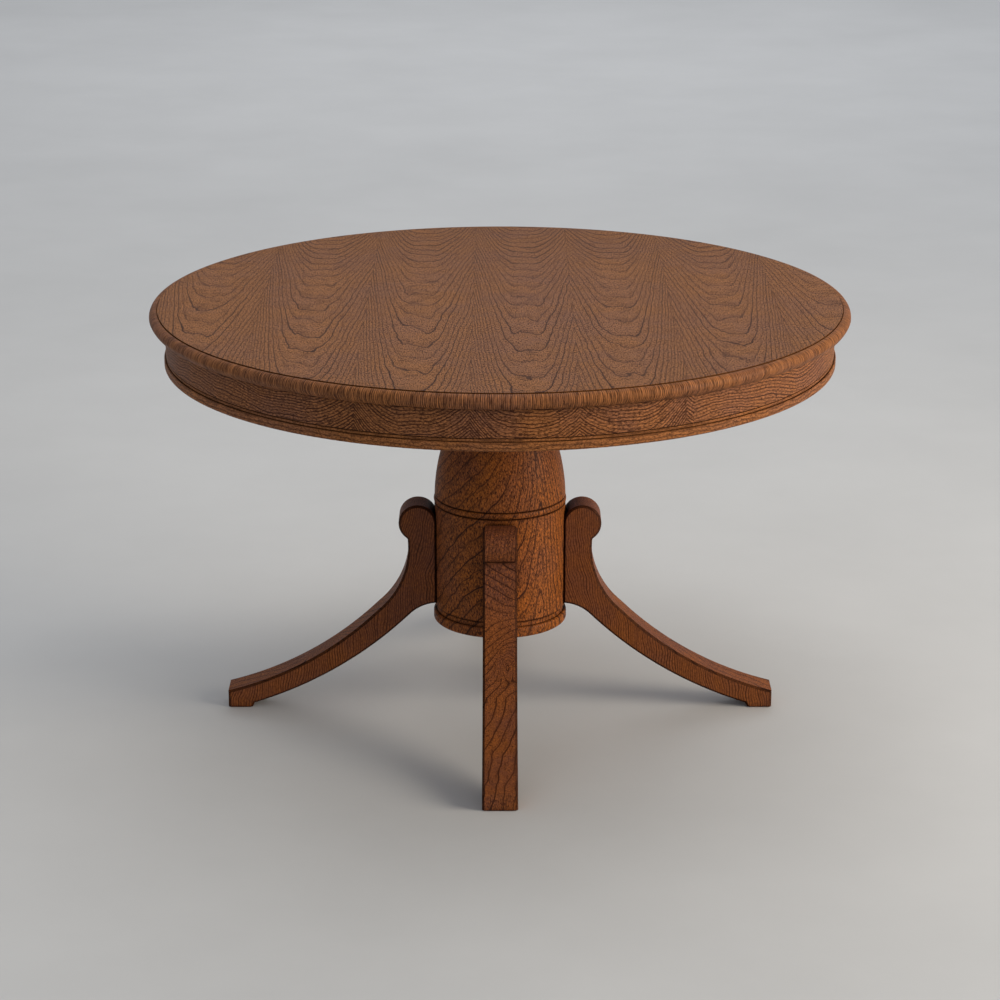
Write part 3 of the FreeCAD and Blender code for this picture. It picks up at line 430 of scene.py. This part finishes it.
def turned_wood(name):
    """Turned pedestal: bold slanting lines in front, close upright lines fanning out to the right."""
    g = Graph(name)
    place = g.place()
    x, y, z = place

    # turn is the angle from the fork of the figure. The counts left and right of it meet again at the back.
    fork = math.radians(38.0)
    turn = round_angle(g, place) - fork
    left = turn * (-30.2 * DRUM_RADIUS) - g.math("TANH", turn / 0.35) * (32.0 * DRUM_RADIUS)
    right = turn * (23.0 * DRUM_RADIUS) + g.math("TANH", turn / 0.7) * (90.0 * DRUM_RADIUS)
    slant = 32.0
    upright = (z - RING_LOW) * near(g, turn, 0.10, 0.90) * 20.0
    bend = jitter(g, place, 0.080, 0.8) + jitter(g, place, 0.018, 0.13, 3.0) + jitter(g, place, 0.004, 0.03)
    rings = length(g, g.math("MAXIMUM", left, right), 0.8) + z * slant - upright + bend
    slope = 40.0 + g.step(turn, -0.50, 0.15) * 70.0
    grain = g.vector(rings * 3.0, z * 45.0, x * 15.0)
    pores = g.vector(x * PORES_ACROSS, y * PORES_ACROSS, z * PORES_ALONG)
    # Plum drifts at random; the x term is painted light, golden and lighter on the lit right, plum and darker
    # on the left.
    plum = 0.32 + drift(g, place, 0.13, 0.45) - x * 1.0

    # Painted shade in the grooves beside the ring bead and under the drum.
    groove_shade = near(g, z, RING_LOW, 0.0030)
    for height, reach in ((RING_HIGH, 0.0030), (DRUM_BOTTOM, 0.0040)):
        groove_shade = g.math("MAXIMUM", groove_shade, near(g, z, height, reach))
    figure = (rings, length(g, slope, slant), grain, pores)
    return stained_wood(g, figure, place, BASE_STAIN, plum, 0.95, 1.0, groove_shade, 0.0014)


def leg_wood(name, facing, knot):
    """One leg: fine upright lines on its sides, and on its sawn front broad ones that sweep round a knot.

    facing is the leg's direction from above. knot is how far down the front the knot lies, as reach - height.
    """
    g = Graph(name)
    place = g.place()
    x, y, z = place
    reach = x * math.cos(facing) + y * math.sin(facing)
    across = y * math.cos(facing) - x * math.sin(facing)
    down = reach - z

    # sideways is 1 on the sides, 0 on the front and between them on the bevels.
    nx, ny, _ = g.normal()
    sideways = g.math("ABSOLUTE", ny * math.cos(facing) - nx * math.sin(facing))
    bevel = g.step(sideways, 0.35, 0.55) * g.step(sideways, 0.95, 0.85)
    broad = g.math("LESS_THAN", sideways, 0.85)

    side_density = 240.0
    front_density = 60.0
    bend = jitter(g, place, 0.120, 0.024) + jitter(g, place, 0.030, 0.0024)
    side_rings = (reach + z * 0.12 + bend) * side_density

    # The front's lines slope one way near the top and the other way below, and open out under the knot.
    eye = length(g, (across - 0.012) / 0.014, (down - knot) / 0.040)
    sweep = g.step(down, -0.10, 0.0) * 80.0 - 30.0
    lower = g.math("MAXIMUM", down - 0.17, 0.0)
    front_rings = down * 45.0 - lower * 34.0 + across * sweep + bend * (40.0 + lower * 120.0)
    front_rings = front_rings + g.math("EXPONENT", eye * eye * -1.0) * 4.2
    scroll = g.step(z, NOTCH_HEIGHT - 0.002, NOTCH_HEIGHT + 0.002)
    front_rings = front_rings + (across * 150.0 + down * 15.0 - front_rings) * scroll

    rings = side_rings + (front_rings - side_rings) * broad
    density = side_density + (front_density - side_density) * broad
    grain = g.vector(rings * 2.0, z * 45.0, across * 120.0)
    pores = g.vector(x * PORES_ACROSS, y * PORES_ACROSS, z * PORES_ALONG)
    lines = 0.85 + broad * 0.10
    speckle = 0.42 + broad * 0.38
    width = 0.0010 + broad * 0.0006

    # Painted shade on the bevels, in the crook against the drum and in the notch. Plum near the front's top.
    crook_shade = g.step(g.hollow(0.050), 0.45, 0.85) * 0.7 + near(g, z, NOTCH_HEIGHT, 0.004) * broad * 0.9
    dark = g.math("MAXIMUM", bevel * 0.80, crook_shade)
    plum = 0.62 + drift(g, place, 0.14, 0.45) + g.step(down, 0.0, -0.15) * broad * 0.4
    figure = (rings, density, grain, pores)
    return stained_wood(g, figure, place, BASE_STAIN, plum, lines, speckle, dark, width)


def plain_wood(name, pale, deep, pitch):
    """Unstained hidden wood, planed, with fine straight grain. pitch is the width of one ring."""
    g = Graph(name)
    place = g.place()
    x, y, z = place
    rings = (x * 0.5 + y * 0.35 + z * 1.2 + jitter(g, place, 0.090, 0.010)) / pitch
    phase = g.math("FRACT", rings)
    fibre = g.noise(g.vector(x * 12.0, y * 12.0, z * 90.0), 1.0, 4.0, 0.6)
    share = g.math("ADD", g.step(phase, 0.2, 0.95) * 0.5, fibre * 0.5, clamp=True)
    colour = g.mix(share, pale, deep)
    # Painted shade darkens hollows and inner corners.
    colour = g.mix(g.step(g.hollow(0.008), 0.3, 0.9) * 0.5, colour, deep)
    rough = 0.62 + 0.15 * g.noise(g.vector(*place), 0.004, 2.0)
    return g.finish(colour, rough, g.bump(fibre, 0.30, 0.0003))


def zinc_steel(name):
    """Zinc-plated hardware: cool grey with faint spangle and turning marks."""
    g = Graph(name)
    x, y, z = g.place()
    cloud = g.noise(g.vector(x, y, z), 0.012, 3.0)
    marks = g.noise(g.vector(x * 40.0, y * 40.0, z * 900.0), 1.0, 2.0)
    colour = g.mix(cloud, (0.46, 0.47, 0.49), (0.62, 0.61, 0.57))
    rough = 0.26 + cloud * 0.15 + marks * 0.08
    return g.finish(colour, rough, g.bump(marks, 0.15, 0.0001), metallic=1.0)


def glide_plastic(name):
    """Brown moulded glides, scuffed underneath."""
    g = Graph(name)
    scuff = g.step(g.noise(g.vector(*g.place()), 0.004, 4.0, 0.65), 0.50, 0.70)
    colour = g.mix(scuff * 0.4, (0.055, 0.032, 0.020), (0.120, 0.085, 0.060))
    rough = 0.45 + scuff * 0.25
    return g.finish(colour, rough, g.bump(scuff, 0.2, 0.0002))


def facing_of(node):
    """The direction from above, in radians, in which a leg's middle lies from the pedestal's axis."""
    low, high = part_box(node)
    middle = (low + high) / 2
    return math.atan2(middle.y, middle.x)


def dress():
    """Give every CAD node its material."""
    shared = {
        "face_leaf": top_veneer("FaceVeneer"),
        "edge_lipping": edge_wood("EdgeWood"),
        "base_bead": bead_wood("BeadWood"),
        "apron_segment": apron_side_wood("ApronSide"),
        "apron_segment_1": apron_front_wood("ApronFront", 1.0),
        "apron_segment_4": apron_front_wood("ApronBack", -1.0),
        "pedestal": turned_wood("TurnedWood"),
        "top_core": plain_wood("CoreBoard", (0.42, 0.29, 0.17), (0.26, 0.16, 0.09), 0.004),
        "backing_veneer": plain_wood("BackingVeneer", (0.24, 0.12, 0.06), (0.13, 0.06, 0.03), 0.006),
        "frame": plain_wood("FrameWood", (0.50, 0.34, 0.19), (0.33, 0.20, 0.10), 0.005),
        "leg_dowels": plain_wood("DowelWood", (0.60, 0.44, 0.27), (0.44, 0.30, 0.17), 0.003),
        "steel": zinc_steel("ZincSteel"),
        "foot_glides": glide_plastic("GlidePlastic"),
    }
    turned = ("pedestal_cap", "pedestal_drum", "pedestal_neck", "ring_bead", "base_ring")
    joinery = ("glue_blocks", "splice_blocks", "batten_long", "batten_cross", "top_plate")
    knots = {"leg_front": 0.078, "leg_right": 0.150, "leg_back": 0.030, "leg_left": 0.210}
    for name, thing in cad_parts.items():
        stem = name.rsplit("_", 1)[0]
        if name in knots:
            material = leg_wood("LegWood_" + name, facing_of(name), knots[name])
        elif name in turned:
            material = shared["pedestal"]
        elif name in joinery:
            material = shared["frame"]
        elif name in shared:
            material = shared[name]
        elif stem in shared:
            material = shared[stem]
        else:
            material = shared["steel"]
        thing.data.materials.clear()
        thing.data.materials.append(material)


# ------------------------------------------------------------------ stage, light and camera

def pale_floor():
    """A wide pale floor with faint cloudiness, level with the soles of the glides."""
    g = Graph("PaleFloor")
    spot = g.vector(*g.place())
    cloud = g.noise(spot, 0.6, 5.0, 0.6)
    colour = g.mix(cloud, (0.50, 0.50, 0.50), (0.60, 0.60, 0.60))
    material = g.finish(colour, 0.75, g.bump(g.noise(spot, 0.02, 4.0), 0.15, 0.001))
    bpy.ops.mesh.primitive_circle_add(vertices=96, radius=FLOOR_RADIUS, fill_type="NGON")
    floor = bpy.context.object
    floor.name = "Floor"
    floor.data.materials.append(material)


def soft_box(name, place, size, watts, colour, target=TABLE_MIDDLE, spread=180.0, mirrored=True):
    """A square area light aimed at the middle of the table, or elsewhere.

    spread is the width of its beam in degrees, and mirrored says whether the lacquer reflects it.
    """
    light = bpy.data.lights.new(name, "AREA")
    light.shape = "SQUARE"
    light.size = size
    light.energy = watts
    light.color = colour
    light.spread = math.radians(spread)
    holder = bpy.data.objects.new(name, light)
    holder.location = place
    holder.rotation_euler = (Vector(target) - Vector(place)).to_track_quat("-Z", "Y").to_euler()
    holder.visible_glossy = mirrored
    bpy.context.scene.collection.objects.link(holder)


def lights():
    """A warm window to the right, a cool fill to the left and a pale room all round."""
    soft_box("Window", (5.7, -1.9, 2.2), 3.2, 119.0, (1.0, 0.90, 0.75), spread=100.0)
    soft_box("Fill", (-2.6, -3.4, 2.4), 3.0, 12.0, (0.86, 0.93, 1.0))
    soft_box("Overhead", (0.3, 0.6, 4.2), 3.2, 50.0, (1.0, 0.98, 0.95))
    soft_box("Back", (0.5, 7.5, 5.0), 6.0, 190.0, (0.97, 0.98, 1.0), (0.5, 7.5, 0.0), mirrored=False)
    world = bpy.data.worlds.new("PaleRoom")
    world.use_nodes = True
    background = world.node_tree.nodes["Background"]
    background.inputs["Color"].default_value = (0.86, 0.90, 0.95, 1.0)
    background.inputs["Strength"].default_value = 0.44
    bpy.context.scene.world = world


def camera():
    """A long lens from the front, a little above the table and looking slightly down on it."""
    distance = 8.09 * TABLE_RADIUS
    height = 3.238 * TABLE_RADIUS
    tilt = math.radians(17.85)
    lens = bpy.data.cameras.new("Camera")
    lens.lens = 104.5
    lens.sensor_width = 36.0
    lens.clip_end = 100.0
    holder = bpy.data.objects.new("Camera", lens)
    holder.location = (0.0, -distance, height)
    holder.rotation_euler = (math.radians(90.0) - tilt, 0.0, 0.0)
    bpy.context.scene.collection.objects.link(holder)
    bpy.context.scene.camera = holder


dress()
pale_floor()
lights()
camera()
bpy.context.scene.view_settings.view_transform = "Standard"
